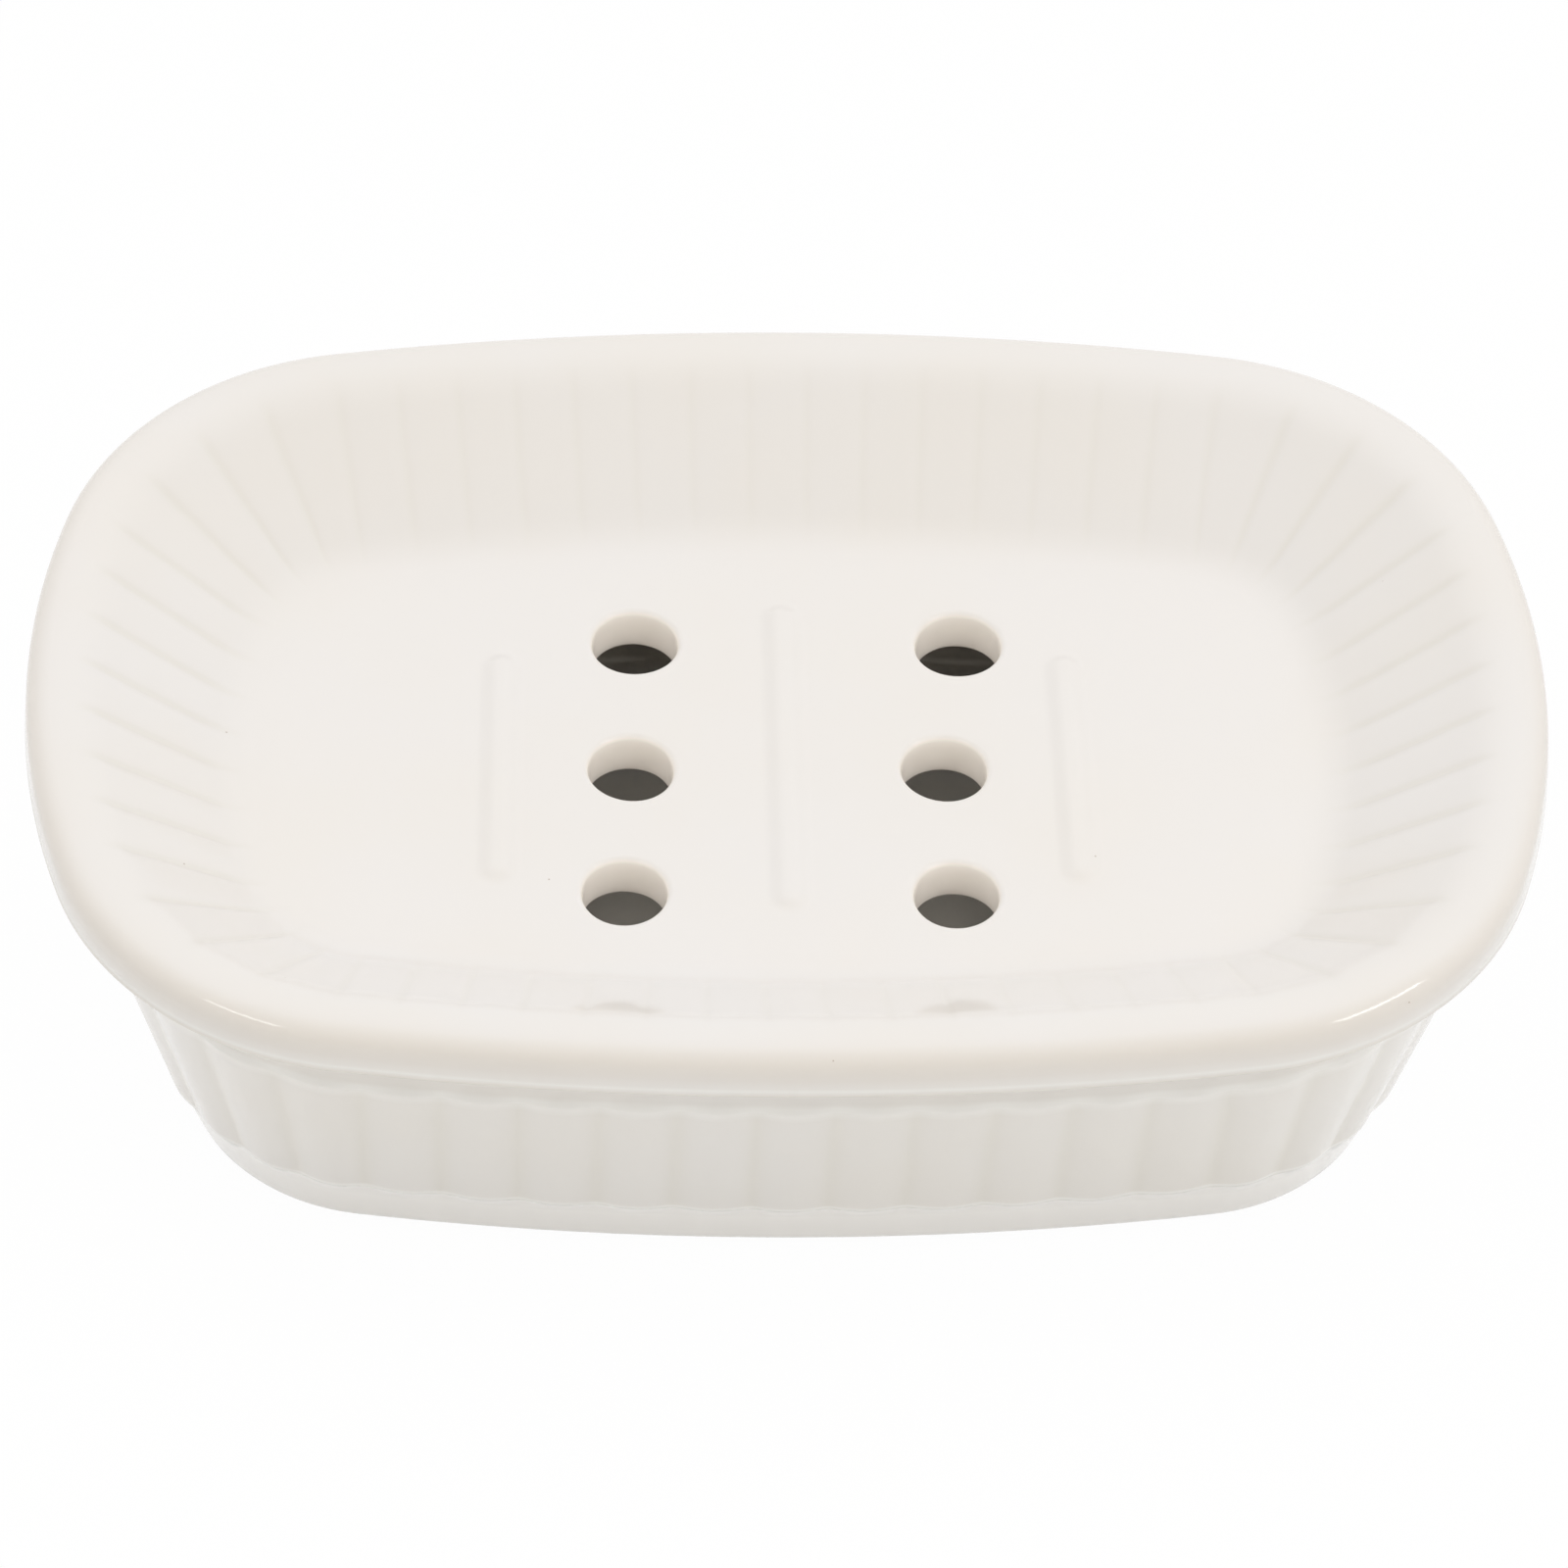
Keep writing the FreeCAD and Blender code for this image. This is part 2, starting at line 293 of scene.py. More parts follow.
# Glaze: a glossy warm white over stoneware; sizes and depths are in metres
glazeLook = {
    # among these tones: the darker pool tone is glaze pooling in grooves and painted shade at the seam and
    # in the base's hollow; the pale foot and edge tones are painted light on the foot and painted highlight
    # lines; the bore and glow tones paint light and a glow into the drain holes
    "white": (0.890, 0.865, 0.850), "warm": (0.890, 0.858, 0.828), "poolAndShade": (0.815, 0.785, 0.725),
    "speck": (0.36, 0.25, 0.17), "bare": (0.74, 0.69, 0.62), "thin": (0.875, 0.826, 0.775),
    "paintedGlow": (0.165, 0.142, 0.118), "bore": (0.975, 0.945, 0.905), "footBounceLight": (0.985, 0.970, 0.955),
    "edge": (0.985, 0.980, 0.965),
    "patchSize": 0.030, "patchDetail": 3.0, "patchEdges": (0.35, 0.7), "rippleSize": 0.0055,
    "rippleDetail": 1.0, "grainsPerRipple": 12, "grainDetail": 2.0,
    "speckPitch": 0.0075, "speckSize": 0.00013, "speckCore": 0.3, "speckShare": 0.9, "speckSpread": 0.01,
    "speckDepth": 0.6, "gloss": 0.055, "glossSpread": 0.05, "bareRoughness": 0.62, "refraction": 1.52,
    "rippleDepth": 0.000006, "grainDepth": 0.0000005, "bareGrain": 0.00001,
}


def glazeMaterial(name, look):
    material, wire = newMaterial(name)
    place = wire.node("ShaderNodeTexCoord", None, None, "Object")

    def painted(attribute):
        return wire.node("ShaderNodeAttribute", {"attribute_name": attribute}, None, "Fac")

    patches = noise(wire, place, look["patchSize"], look["patchDetail"])
    ripple = noise(wire, place, look["rippleSize"], look["rippleDetail"])
    grain = noise(wire, place, look["rippleSize"] / look["grainsPerRipple"], look["grainDetail"])
    bared, boreGlowShare = painted("bareClay"), painted("shineThrough")
    cells = {"Vector": place, "Scale": 1 / look["speckPitch"], "Randomness": 1.0}
    nearest = wire.node("ShaderNodeTexVoronoi", {"feature": "F1"}, cells, "Distance")
    cellColour = wire.node("ShaderNodeTexVoronoi", {"feature": "F1"}, cells, "Color")
    draw = wire.node("ShaderNodeSeparateColor", None, {0: cellColour}, 0)
    # a dot in the middle of a cell, in the share of the cells whose draw is low enough
    dotSize = look["speckSize"] / look["speckPitch"]
    dot = 1 - nearest.smooth(look["speckCore"] * dotSize, dotSize)
    specks = dot * (1 - draw.smooth(look["speckShare"] - look["speckSpread"],
                                    look["speckShare"] + look["speckSpread"]))

    colour = wire.tint(patches.smooth(*look["patchEdges"]), look["white"], look["warm"])
    # layers of painted shade, painted highlight lines, painted light on the foot and in the bores, over real
    # specks and bare clay
    layers = ((painted("glazePool"), "poolAndShade"), (painted("thinGlaze"), "thin"),
              (painted("thickGlaze"), "footBounceLight"), (painted("edgeLine"), "edge"), (boreGlowShare, "bore"),
              (specks * look["speckDepth"], "speck"), (bared, "bare"))
    for share, tone in layers:
        colour = wire.tint(share, colour, look[tone])
    gloss = look["gloss"] + look["glossSpread"] * patches
    gloss = gloss + bared * (look["bareRoughness"] - look["gloss"])
    height = ripple * look["rippleDepth"] + grain * (look["grainDepth"] + bared * look["bareGrain"])
    bump = wire.node("ShaderNodeBump", None, {"Height": height, "Strength": 1.0, "Distance": 1.0})
    # a painted glow: the drain holes' bores emit light, though they are no lamp
    glow = wire.tint(boreGlowShare, (0, 0, 0), look["paintedGlow"])
    shader = wire.node("ShaderNodeBsdfPrincipled", None, {
        "Base Color": colour, "Roughness": gloss, "Normal": bump, "IOR": look["refraction"],
        "Emission Color": glow, "Emission Strength": 1.0})
    closeMaterial(wire, shader)
    return material


# Soap tray: rim, lobed well, drain holes and ridges; insets, heights and reaches are in millimetres
trayShape = {
    "depth": 9.8, "rimWidth": 5.2, "rimInnerRound": 8.0, "rimTopRound": 2.2, "rimLowRound": 0.5,
    "rollHeight": 0.75, "rollProud": 0.16, "wallInset": 19.4, "cove": 7.0, "floorEdge": 22.3,
    "bowlTop": 6.3, "bowlLow": 13.5, "bowlRound": 4.0, "seatRound": 0.5,
    "lobes": 60, "perLobe": 10, "lobeCrowding": 0.55, "lobeRise": 0.24, "lobeSharpness": 0.03,
    "lobeEnds": [4.2, 8.0, 16.0, 20.8], "grooveDepth": 0.22, "grooveWidth": 0.085, "sideShare": 0.28,
    "profilePoints": 78, "profileBlur": 0.22, "profileCrowding": 5.0, "transitionRows": 12, "underStride": 4,
    # glaze: darker in the grooves (glaze pooling and painted shade), thin near the rim's outer edge, a
    # painted highlight line and a painted shade line at the seam over the seat
    "groovePoolAndShade": 0.5, "edgeInset": 0.9, "edgeDrop": 1.4, "edgeReach": (1.1, 1.5),
    "lineRise": 0.85, "lineReach": (0.45, 0.26), "seamRise": 0.12, "seamReach": (0.6, 0.24),
}
drainHoles = {
    "diameter": 7.9, "columnGap": 29.8, "rowPitch": 16.0, "forward": 1.4, "lip": 0.6, "lowLip": 0.5,
    "drift": [(1.2, 0.2), (0.6, -0.1), (-0.2, 0.2), (1.5, 0.0), (-0.3, -0.1), (0.3, -0.1)],
    "wobble": 0.012, "wobbleThird": 0.6, "wobbleTurns": (1.9, 2.3), "wobbleStart": 0.7,
    "lipRows": 7, "lowLipRows": 5, "boreRows": 4, "floorRows": 7, "floorEase": 0.7, "underRows": 3,
    "columnLines": [-31.0, -22.5, -7.0, 8.0, 23.5, 31.0], "columnSteps": [30, 44, 44, 44, 30],
    "rowLines": [-23.4, -9.4, 6.6, 21.5], "rowSteps": [36, 36, 36], "holeColumns": (1, 3), "endTaper": 0.12,
    # the bores' painted glow and painted light grow over the lip by a power of its sine and fade a little
    # down the bore
    "glowRise": 4, "glowFall": 0.35,
}
soapRidges = {
    "height": 0.55, "halfWidth": 2.1, "softness": 1.8,
    # centre x, centre y, half length, splay in degrees
    "bars": [(0.0, 0.0, 20.0, 0.0), (-26.4, -1.5, 15.0, -1.1), (26.4, -1.5, 15.0, 1.1)],
}


def ridgeRelief(x, y):
    # Low round-ended bars: full height near a bar's middle line, eased to nothing at its edge
    relief = np.zeros_like(x)
    half, soft = soapRidges["halfWidth"], soapRidges["softness"]
    for barX, barY, reach, splay in soapRidges["bars"]:
        turn = np.radians(splay)
        across = (x - barX) * np.cos(turn) + (y - barY) * np.sin(turn)
        along = (y - barY) * np.cos(turn) - (x - barX) * np.sin(turn)
        distance = np.hypot(across, np.maximum(np.abs(along) - reach + half, 0))
        fall = np.clip((half - distance) / soft, 0, 1)
        relief = np.maximum(relief, soapRidges["height"] * fall * fall * (3 - 2 * fall))
    return relief


def steppedLines(lines, steps):
    # Grid lines between the cell lines, evenly stepped in each cell
    cells = [np.linspace(a, b, n, endpoint=False) for a, b, n in zip(lines, lines[1:], steps)]
    return np.concatenate(cells + [lines[-1:]])


def floorBlock():
    # A block of cells under the holes and ridges: y draws in towards the ends by a share of x squared
    x = steppedLines(drainHoles["columnLines"], drainHoles["columnSteps"])
    y = steppedLines(drainHoles["rowLines"], drainHoles["rowSteps"])
    gridX, gridY = np.meshgrid(x, y)
    return gridX, gridY * (1 - drainHoles["endTaper"] * (gridX / x[-1]) ** 2)


def edgeOf(grid):
    # The border of a grid walked anticlockwise from its lowest left point
    return np.concatenate([grid[0, :-1], grid[:-1, -1], grid[-1, :0:-1], grid[:0:-1, 0]])


def holeCell(index, cellX, cellY, floorZ, bowlZ):
    # One drain hole: rings from the cell's border to a slightly uneven circle, whose radius changes by
    # cosines of two and three turns, over a quarter-round lip, down the bore, over the lower lip and out to
    # the border again
    hole = drainHoles
    column, row = divmod(index, len(hole["rowSteps"]))
    driftX, driftY = hole["drift"][index]
    # two columns about the middle, and three rows from the back to the front
    middleX = (column - 0.5) * hole["columnGap"] + driftX
    middleY = (1 - row) * hole["rowPitch"] - hole["forward"] + driftY
    borderX, borderY = edgeOf(cellX), edgeOf(cellY)
    angle = np.arctan2(borderY - middleY, borderX - middleX)
    secondTurn, thirdTurn = (step * index for step in hole["wobbleTurns"])
    third = np.cos(3 * angle + hole["wobbleStart"] + thirdTurn)
    uneven = np.cos(2 * angle + secondTurn) + hole["wobbleThird"] * third
    bore = hole["diameter"] / 2 * (1 + hole["wobble"] * uneven)
    lip, low = hole["lip"], hole["lowLip"]
    boreTop, boreEnd = floorZ - lip, bowlZ + low
    turn = np.linspace(0, np.pi / 2, hole["lipRows"])
    lowTurn = np.linspace(0, np.pi / 2, hole["lowLipRows"])
    down = np.linspace(0, 1, hole["boreRows"] + 2)[1:-1]
    growth = np.concatenate([lip * (1 - np.sin(turn)), 0 * down, low * (1 - np.cos(lowTurn))])
    level = np.concatenate([floorZ - lip * (1 - np.cos(turn)), boreTop + (boreEnd - boreTop) * down,
                            bowlZ + low * (1 - np.sin(lowTurn))])
    reach = bore + growth[:, None]
    ringX, ringY = middleX + reach * np.cos(angle), middleY + reach * np.sin(angle)
    ringZ = np.broadcast_to(level[:, None], ringX.shape)
    inward = np.linspace(0, 1, hole["floorRows"] + 1)[:-1, None] ** hole["floorEase"]
    outward = np.linspace(0, 1, hole["underRows"] + 1)[1:, None]

    def joined(border, ring):
        first, last = border + (ring[0] - border) * inward, ring[-1] + (border - ring[-1]) * outward
        return np.vstack([first, ring, last])

    above = np.full((len(inward), len(angle)), floorZ)
    below = np.full((len(outward), len(angle)), bowlZ)
    cell = np.stack([joined(borderX, ringX), joined(borderY, ringY), np.vstack([above, ringZ, below])], -1)
    # the bores' painted light and painted glow: nothing on the floor, rising over the lip, fading down the
    # bore
    paintedGlow = np.concatenate([0 * inward[:, 0], np.sin(turn) ** hole["glowRise"],
                            1 - hole["glowFall"] * down, (1 - hole["glowFall"]) * (1 - np.sin(lowTurn)),
                            0 * outward[:, 0]])
    return cell, paintedGlow[:, None]


def trayPatches():
    # The tray's skin: a profile from the floor over the rim to the bowl's underside, carried round the plan.
    # Its wall is cut back by lobeRise * (1 - swell) + grooveDepth * a Gaussian at the groove. A block of
    # cells, six of them with a hole, closes the floor and the underside, and blends join its border to the
    # profile.
    shape = trayShape
    rimTop, seatZ, bowlZ = trayHigh[2], baseHigh[2], trayLow[2]
    floorZ = rimTop - shape["depth"]
    corners = [
        (shape["floorEdge"], floorZ, 0, 0, 0),
        (shape["wallInset"], floorZ, shape["cove"], 1, 0),
        (shape["rimWidth"], rimTop, shape["rimInnerRound"], 1, 0),
        (shape["rollProud"], rimTop, shape["rimTopRound"], 0, 0),
        (shape["rollProud"], seatZ + shape["rollHeight"], 0, 0, 0),
        (0, seatZ + shape["rollHeight"] / 2, 0, 0, 0),
        (0, seatZ, shape["rimLowRound"] / 2, 0, 0),
        (shape["bowlTop"], seatZ, shape["seatRound"], 0, 1),
        (shape["bowlLow"], bowlZ, shape["bowlRound"], 0, 1),
        (shape["floorEdge"], bowlZ, 0, 0, 1),
    ]
    inset, height, lobed, lower = profileLine(corners, shape["profilePoints"], shape["profileBlur"],
                                              shape["profileCrowding"])
    lobed = np.clip(lobed, 0, 1) * np.interp(inset, shape["lobeEnds"], [0, 1, 1, 0])
    lobed = lobed * lobed * (3 - 2 * lobed)
    laps, share = lobeLaps(shape["lobes"], shape["perLobe"], shape["lobeCrowding"])
    pitchInset = (shape["rimWidth"] + shape["wallInset"]) / 2
    plans = [ovalStations(laps, pitchInset, setback) for setback in (0, bandSetback)]
    # the lobes are cut back from the plain wall, less along the sides than at the ends
    endwise = shape["sideShare"] + (1 - shape["sideShare"]) * np.abs(plans[0][2][:, 0])
    groove = endwise * np.exp(-((share - 0.5) / shape["grooveWidth"]) ** 2)
    cutBack = endwise * (1 - lobeSwell(share, shape["lobeSharpness"]))
    swell = -shape["lobeRise"] * cutBack - shape["grooveDepth"] * groove
    insets = inset[:, None] + lobed[:, None] * swell
    heights = np.broadcast_to(height[:, None], insets.shape)
    ring = carriedRound(plans, lower, insets, heights)
    # darker grooves: glaze pooling and painted shade
    poolAndShade = shape["groovePoolAndShade"] * lobed[:, None] * groove
    edge = nearPlace(inset, height, (shape["edgeInset"], rimTop - shape["edgeDrop"]), shape["edgeReach"])
    # a painted highlight line along the rim's lower edge
    line = nearPlace(inset, height, (0, seatZ + shape["lineRise"]), shape["lineReach"])
    # a painted shade line at the seam under the rim's lower edge
    seamShade = nearPlace(inset, height, (0, seatZ + shape["seamRise"]), shape["seamReach"])
    values = {"glazePool": np.maximum(poolAndShade, seamShade), "thinGlaze": edge, "edgeLine": line}
    patches = [(ring, True, True, values)]

    blockX, blockY = floorBlock()
    columnSteps, rowSteps = drainHoles["columnSteps"], drainHoles["rowSteps"]
    columnStarts = np.concatenate([[0], np.cumsum(columnSteps)])
    rowStarts = np.concatenate([[0], np.cumsum(rowSteps)])
    # the block's border from the middle of its front, joined to the floor's oval above and below
    border = np.roll(np.stack([edgeOf(blockX), edgeOf(blockY)], -1), -columnStarts[-1] // 2, 0)
    spread = np.linspace(0, 1, shape["transitionRows"])[:, None, None]
    coarse = spread[::shape["underStride"]]
    for oval, level, above in ((ring[0], floorZ, True), (ring[-1], bowlZ, False)):
        rows = spread if above else coarse / coarse.max()
        flat = border + (oval[:, :2] - border) * rows
        z = level + (ridgeRelief(flat[..., 0], flat[..., 1]) if above else 0 * flat[..., 0])
        patches.append((np.concatenate([flat, z[..., None]], -1), True, above, {}))
    holeColumns = drainHoles["holeColumns"]
    inward = np.linspace(0, 1, drainHoles["underRows"] + 1)[:, None, None]
    for column in range(len(columnSteps)):
        across = slice(columnStarts[column], columnStarts[column + 1] + 1)
        for row in range(len(rowSteps)):
            upward = slice(rowStarts[row], rowStarts[row + 1] + 1)
            cellX, cellY = blockX[upward, across], blockY[upward, across]
            if column in holeColumns:
                # holes are counted from the back of their column, rows of cells from the front
                index = (holeColumns.index(column) + 1) * len(rowSteps) - 1 - row
                cell, paintedGlow = holeCell(index, cellX, cellY, floorZ, bowlZ)
                patches.append((cell, True, False, {"shineThrough": paintedGlow}))
                continue
            relief = floorZ + ridgeRelief(cellX, cellY)
            patches.append((np.stack([cellX, cellY, relief], -1), False, False, {}))
            outline = np.stack([edgeOf(cellX), edgeOf(cellY)], -1)
            flat = outline + (outline.mean(0) - outline) * inward
            under = np.concatenate([flat, np.full(flat.shape[:2] + (1,), bowlZ)], -1)
            patches.append((under, True, True, {}))
    return patches


# Drip base: band, flutes, foot, and the hollow that catches the water; measures are in millimetres
baseShape = {
    "bandLow": 3.05, "bandRound": 0.8, "bandHeight": 4.15, "shoulder": 0.85, "shoulderRound": 0.30,
    "fluteTop": 2.95, "fluteLow": 10.20, "fluteRound": 0.20, "fluteEnd": 7.4, "fluteTrace": 0.1,
    "footTop": 10.42, "footTopZ": 7.05, "footLow": 12.7, "footRound": 0.8,
    "ringInset": 17.7, "ringDepth": 1.5, "ringRound": 0.4, "mouth": 5.6, "mouthRound": 0.6,
    "hollowLow": 14.3, "hollowRound": 5.0, "hollowFloor": 6.0, "core": 25.0, "coreRows": 5,
    "flutes": 50, "perFlute": 16, "fluteCrowding": 0.5, "fluteRise": 0.42, "fluteSharpness": 0.06,
    "profilePoints": 100, "profileBlur": 0.10, "profileCrowding": 8.0,
    # glaze: darker between the flutes (glaze pooling and painted shade), painted shade in the hollow, the
    # foot lightened by painted bounce light, none below it, painted highlight lines on two edges
    "groovePoolAndShade": 0.5, "poolPower": 3, "bareRise": 0.06, "footFade": 0.4,
    "shoulderHighlight": 0.9, "shoulderLineDrop": 0.7, "shoulderLineReach": (0.5, 0.5),
    "fluteLineRise": 0.40, "fluteLineReach": (0.4, 0.22),
}
# the base's glaze is a little darker and duller than the tray's
baseLook = dict(glazeLook, white=(0.866, 0.845, 0.824), warm=(0.866, 0.838, 0.802), gloss=0.13)


def basePatches():
    # The base's skin: a profile from the hollow's floor over the mouth's edge and down the band, flutes and
    # foot to the recess underneath, carried round between the foot's plan and the band's. The flutes stand
    # out by fluteRise times the lobes' swell.
    shape = baseShape
    seatZ, footZ = baseHigh[2], baseLow[2]
    bandLowZ = seatZ - shape["bandHeight"]
    recessZ = footZ + shape["ringDepth"]
    fluteLineZ = shape["fluteEnd"] + shape["fluteLineRise"]
    corners = [
        (shape["core"], shape["hollowFloor"], 0, 0, 1),
        (shape["hollowLow"], shape["hollowFloor"], shape["hollowRound"], 0, 1),
        (shape["mouth"], seatZ, shape["mouthRound"], 0, 1),
        (bandInset, seatZ, shape["bandRound"], 0, 1),
        (shape["bandLow"], bandLowZ, shape["shoulderRound"], shape["fluteTrace"], 1),
        (shape["fluteTop"], bandLowZ - shape["shoulder"], shape["shoulderRound"], 1, 1),
        (shape["fluteLow"], shape["fluteEnd"], shape["fluteRound"], 1, 0),
        (shape["footTop"], shape["footTopZ"], shape["shoulderRound"], shape["fluteTrace"], 0),
        (shape["footLow"], footZ, shape["footRound"], 0, 0),
        (shape["ringInset"], footZ, shape["ringRound"], 0, 0),
        (shape["ringInset"], recessZ, shape["ringRound"], 0, 0),
        (shape["core"], recessZ, 0, 0, 0),
    ]
    inset, height, lobed, upper = profileLine(corners, shape["profilePoints"], shape["profileBlur"],
                                              shape["profileCrowding"], [fluteLineZ])
    laps, share = lobeLaps(shape["flutes"], shape["perFlute"], shape["fluteCrowding"])
    pitchInset = (shape["fluteTop"] + shape["fluteLow"]) / 2
    plans = [ovalStations(laps, pitchInset, setback) for setback in (dishPlan["footSetback"], bandSetback)]
    swell = lobeSwell(share, shape["fluteSharpness"])
    insets = inset[:, None] - shape["fluteRise"] * lobed[:, None] * swell
    heights = np.broadcast_to(height[:, None], insets.shape)
    ring = carriedRound(plans, upper, insets, heights)
    # darker between the flutes: glaze pooling and painted shade
    poolAndShade = shape["groovePoolAndShade"] * np.clip(lobed, 0, 1)[:, None] * (1 - swell) ** shape["poolPower"]
    bare = (height < footZ + shape["bareRise"])[:, None]
    # the foot is lightened up to its top: painted bounce light from the floor
    fadeEnds = [shape["footTopZ"] - shape["footFade"], shape["footTopZ"] + shape["footFade"]]
    footLightShare = np.interp(height, fadeEnds, [1, 0])[:, None]
    hollow = (np.arange(len(height)) < np.argmax(height))[:, None]
    # painted highlight lines along the shoulder and the flutes' lower edge
    shoulderZ = bandLowZ - shape["shoulderLineDrop"] * shape["shoulder"]
    shoulderHighlight = nearPlace(inset, height, (shape["fluteTop"], shoulderZ), shape["shoulderLineReach"])
    fluteHighlight = nearPlace(inset, height, (shape["fluteLow"], fluteLineZ), shape["fluteLineReach"])
    # the hollow's walls take full painted shade
    values = {"glazePool": np.where(hollow, 1, poolAndShade), "bareClay": bare, "thickGlaze": footLightShare,
              "edgeLine": shape["shoulderHighlight"] * shoulderHighlight + fluteHighlight}
    patches = [(ring, True, True, values)]
    # the hollow's floor and the underside run on to a pole in the middle
    inward = np.linspace(0, 1, shape["coreRows"] + 1)[:, None, None]
    inPlan = np.array([1.0, 1.0, 0.0])
    for edge, outwards in ((ring[0], True), (ring[-1], False)):
        level = edge * (1 - inPlan)
        rows = level + edge * inPlan * (inward if outwards else 1 - inward)
        # the hollow's floor takes the painted shade too, the underside none
        patches.append((rows, True, True, {"glazePool": float(outwards)}))
    return patches


# Grip pads: translucent-looking frosted silicone; sizes and depths are in metres
padLook = {
    "clear": (0.70, 0.71, 0.70), "milky": (0.80, 0.80, 0.79), "cloudSize": 0.004, "cloudEdges": (0.3, 0.7),
    "grainSize": 0.0003, "grainDepth": 0.000004, "detail": 2.0, "roughness": 0.38, "roughnessSpread": 0.2,
    "refraction": 1.41,
}


def padMaterial(look):
    material, wire = newMaterial("padSilicone")
    place = wire.node("ShaderNodeTexCoord", None, None, "Object")
    cloud = noise(wire, place, look["cloudSize"], look["detail"])
    grain = noise(wire, place, look["grainSize"], look["detail"])
    colour = wire.tint(cloud.smooth(*look["cloudEdges"]), look["clear"], look["milky"])
    bump = wire.node("ShaderNodeBump", None, {"Height": grain * look["grainDepth"], "Distance": 1.0})
    shader = wire.node("ShaderNodeBsdfPrincipled", None, {
        "Base Color": colour, "Roughness": look["roughness"] + look["roughnessSpread"] * (grain - 0.5),
        "Normal": bump, "IOR": look["refraction"]})
    closeMaterial(wire, shader)
    return material


trayGlaze = glazeMaterial("trayGlaze", glazeLook)
baseGlaze = glazeMaterial("baseGlaze", baseLook)
makePiece("glazed_tray", trayPatches(), "tray", "soap_tray", trayGlaze)
makePiece("glazed_base", basePatches(), "base", "drip_base", baseGlaze)
silicone = padMaterial(padLook)
for nodeName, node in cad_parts.items():
    if nodeName.startswith("grip_pad"):
        node.data.materials.clear()
        node.data.materials.append(silicone)
print("grip pads finished in silicone")


# Studio: a white sweep, white surroundings that are dimmer at the front, and three softboxes
studio = {
    "floorSize": 6.0, "floorLines": 9, "floorColour": (0.955, 0.955, 0.95), "floorGlow": 0.975,
    "skyLevel": 0.60, "dimAim": (0.0, -0.60, 0.80), "dimReach": (0.30, 0.98), "dimLevel": 0.78,
    "frontColour": (1.0, 0.95, 0.84),
    # direction, distance, size and power of each softbox, in metres and watts, and whether gloss mirrors it
    "overhead": ((0.0, 0.15, 1.0), 1.1, (1.2, 1.0), 5.0, False),
    "right": ((0.68, -0.36, 0.64), 1.0, (0.42, 0.14), 1.25, True),
    "left": ((-0.57, -0.51, 0.63), 1.0, (0.34, 0.12), 0.55, True),
}


def softbox(name, direction, distance, size, power, mirrored):
    lamp = bpy.data.lights.new(name, "AREA")
    lamp.shape, lamp.size, lamp.size_y, lamp.energy = "RECTANGLE", size[0], size[1], power
    box = bpy.data.objects.new(name, lamp)
    towards = Vector(direction).normalized()
    box.location = towards * distance
    box.visible_glossy = mirrored
    box.rotation_euler = towards.to_track_quat("Z", "Y").to_euler()
    bpy.context.scene.collection.objects.link(box)


def whiteSeen(wire):
    # 1 for rays that look straight at the background, or by way of gloss or glass
    seen = [wire.node("ShaderNodeLightPath", None, None, ray) for ray in
            ("Is Camera Ray", "Is Glossy Ray", "Is Transmission Ray")]
    return wire.node("ShaderNodeClamp", None, {0: seen[0] + seen[1] + seen[2]})


def floorPiece():
    half, count = studio["floorSize"] / 2, studio["floorLines"]
    edge = np.linspace(-half, half, count)
    x, y = np.meshgrid(edge, edge)
    mesh = bpy.data.meshes.new("studio_floor")
    corners = np.stack([x, y, 0 * x], -1).reshape(-1, 3)
    mesh.from_pydata(corners.tolist(), [], gridFaces(count, count, False, False).tolist())
    sweep = bpy.data.objects.new("studio_floor", mesh)
    bpy.context.scene.collection.objects.link(sweep)
    material, wire = newMaterial("studioFloor")
    matt = wire.node("ShaderNodeBsdfDiffuse", None, {"Color": (*studio["floorColour"], 1)})
    glow = wire.node("ShaderNodeEmission", None, {"Color": (1, 1, 1, 1), "Strength": 1.0})
    share = whiteSeen(wire) * studio["floorGlow"]
    closeMaterial(wire, wire.node("ShaderNodeMixShader", None, {0: share, 1: matt, 2: glow}))
    mesh.materials.append(material)


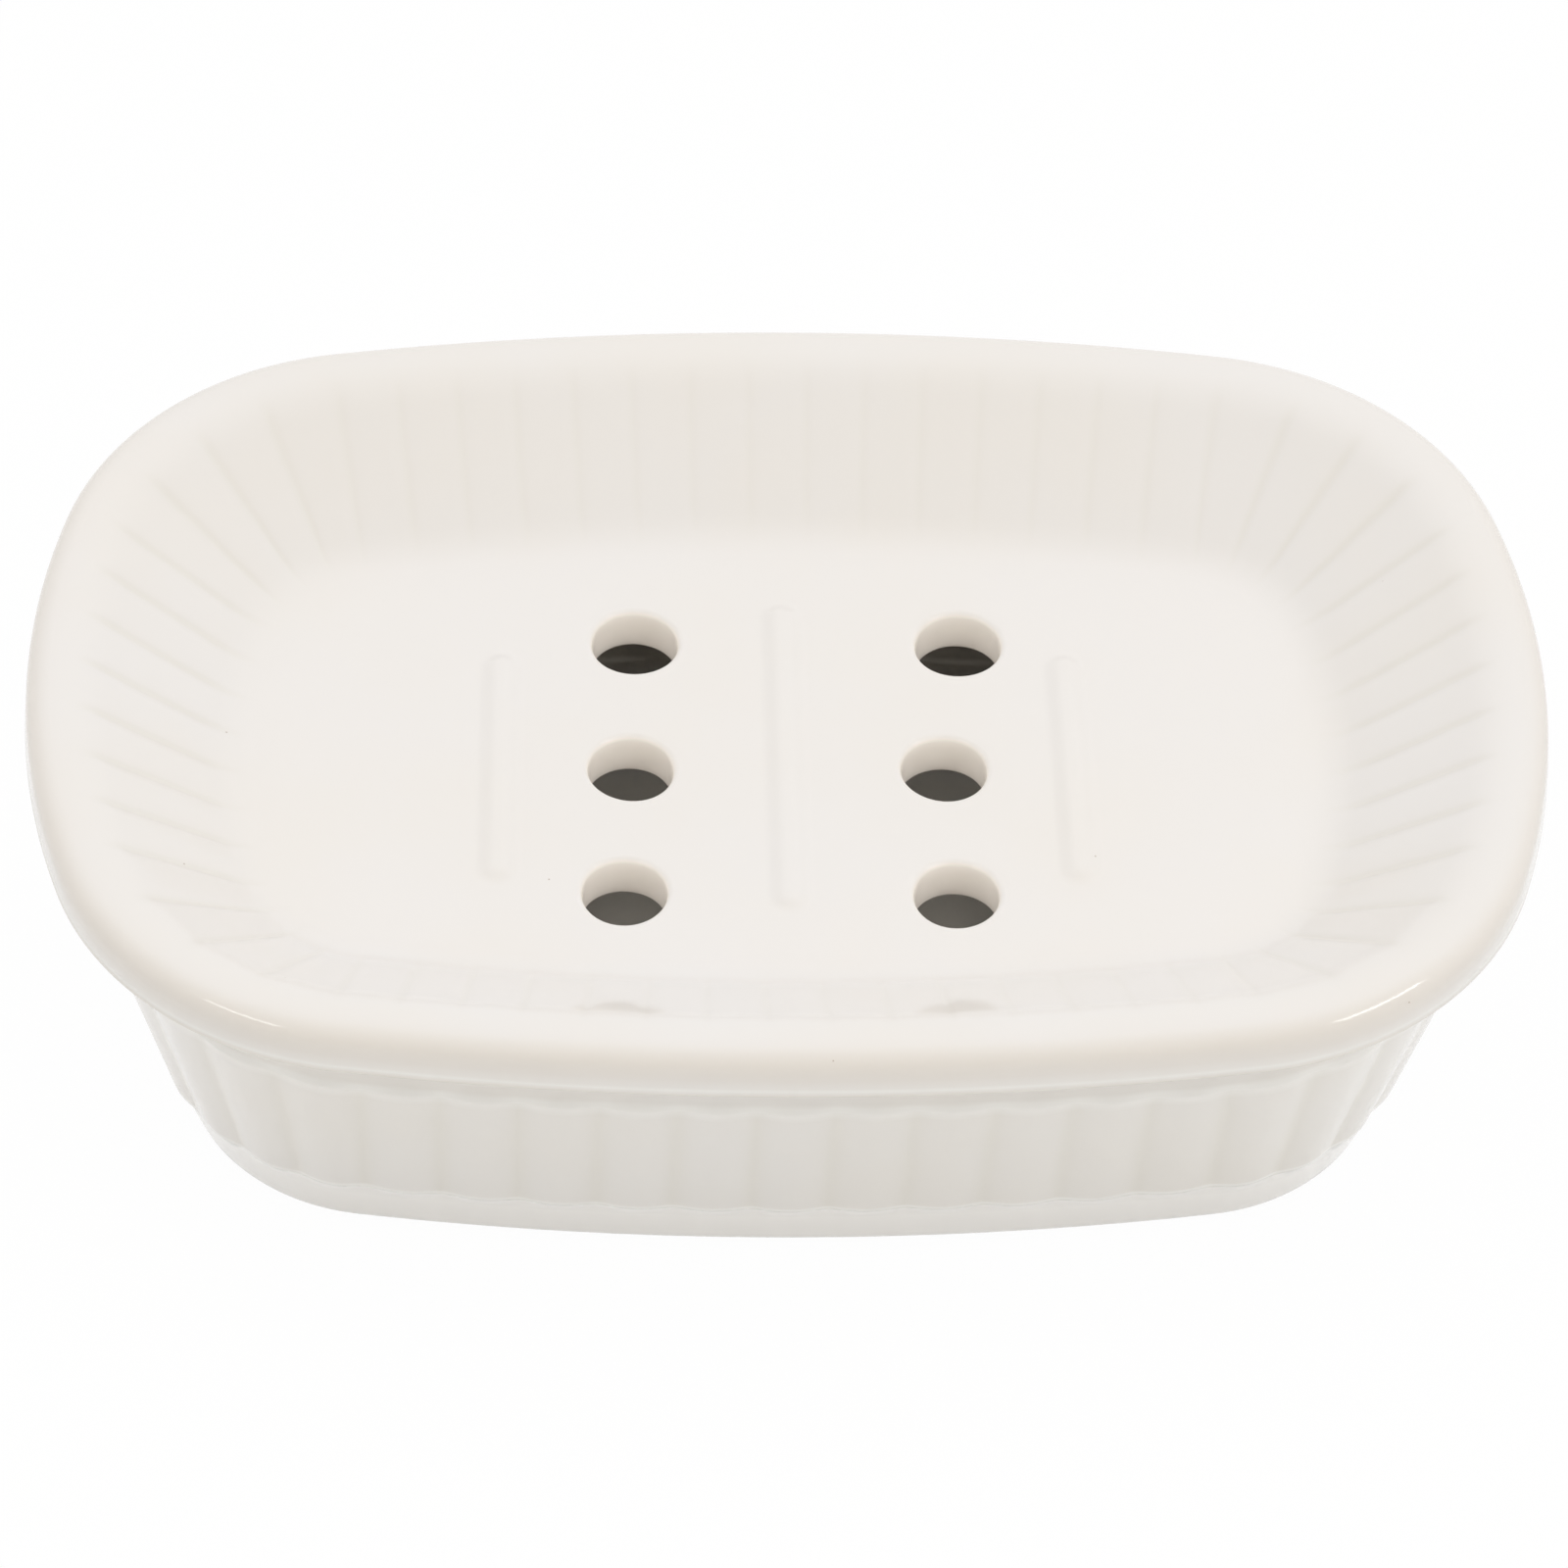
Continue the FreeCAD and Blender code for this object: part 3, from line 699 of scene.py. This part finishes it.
def whiteSurroundings():
    world = bpy.data.worlds.new("studioWhite")
    bpy.context.scene.world = world
    world.use_nodes = True
    world.node_tree.nodes.clear()
    wire = Wire(world.node_tree)
    direction = wire.node("ShaderNodeTexCoord", None, None, "Generated")
    facing = wire.node("ShaderNodeVectorMath", {"operation": "DOT_PRODUCT"},
                       {0: direction, 1: studio["dimAim"]}, "Value")
    front = facing.smooth(*studio["dimReach"])
    dimmed = 1 - front * (1 - studio["dimLevel"])
    straight = wire.node("ShaderNodeLightPath", None, None, "Is Camera Ray")
    level = studio["skyLevel"] + (1 - studio["skyLevel"]) * whiteSeen(wire)
    level = straight + (1 - straight) * level * dimmed
    colour = wire.tint(front * (1 - straight), (1, 1, 1), studio["frontColour"])
    light = wire.node("ShaderNodeBackground", None, {"Color": colour, "Strength": level})
    wire.node("ShaderNodeOutputWorld", None, {"Surface": light})


# Camera: the photograph's angle; lens and shift are for a 1600 x 1600 frame
photoView = {"elevation": 46.109, "azimuth": -2.946, "roll": 2.217, "distance": 1.11025, "aimHeight": 0.018,
             "focalPixels": 12201.2, "shiftPixels": (-1.36, 49.57), "framePixels": 1600.0, "sensor": 36.0}


def photoCamera(view):
    elevation, azimuth, roll = (np.radians(view[key]) for key in ("elevation", "azimuth", "roll"))
    away = np.cos(elevation)
    back = np.array([np.sin(azimuth) * away, -np.cos(azimuth) * away, np.sin(elevation)])
    level = np.array([np.cos(azimuth), np.sin(azimuth), 0.0])
    upright = np.cross(back, level)
    right = np.cos(roll) * level + np.sin(roll) * upright
    up = np.cos(roll) * upright - np.sin(roll) * level
    lens = bpy.data.cameras.new("photo_camera")
    lens.sensor_width = view["sensor"]
    lens.lens = view["focalPixels"] * view["sensor"] / view["framePixels"]
    lens.shift_x = -view["shiftPixels"][0] / view["framePixels"]
    lens.shift_y = view["shiftPixels"][1] / view["framePixels"]
    camera = bpy.data.objects.new("photo_camera", lens)
    spot = np.array([0, 0, view["aimHeight"]]) + back * view["distance"]
    camera.matrix_world = Matrix.Translation(spot) @ Matrix(np.stack([right, up, back], 1).tolist()).to_4x4()
    bpy.context.scene.collection.objects.link(camera)
    bpy.context.scene.camera = camera


floorPiece()
whiteSurroundings()
for boxName in ("overhead", "right", "left"):
    softbox("softbox_" + boxName, *studio[boxName])
photoCamera(photoView)
bpy.context.scene.view_settings.view_transform = "Standard"
print("studio and camera set")
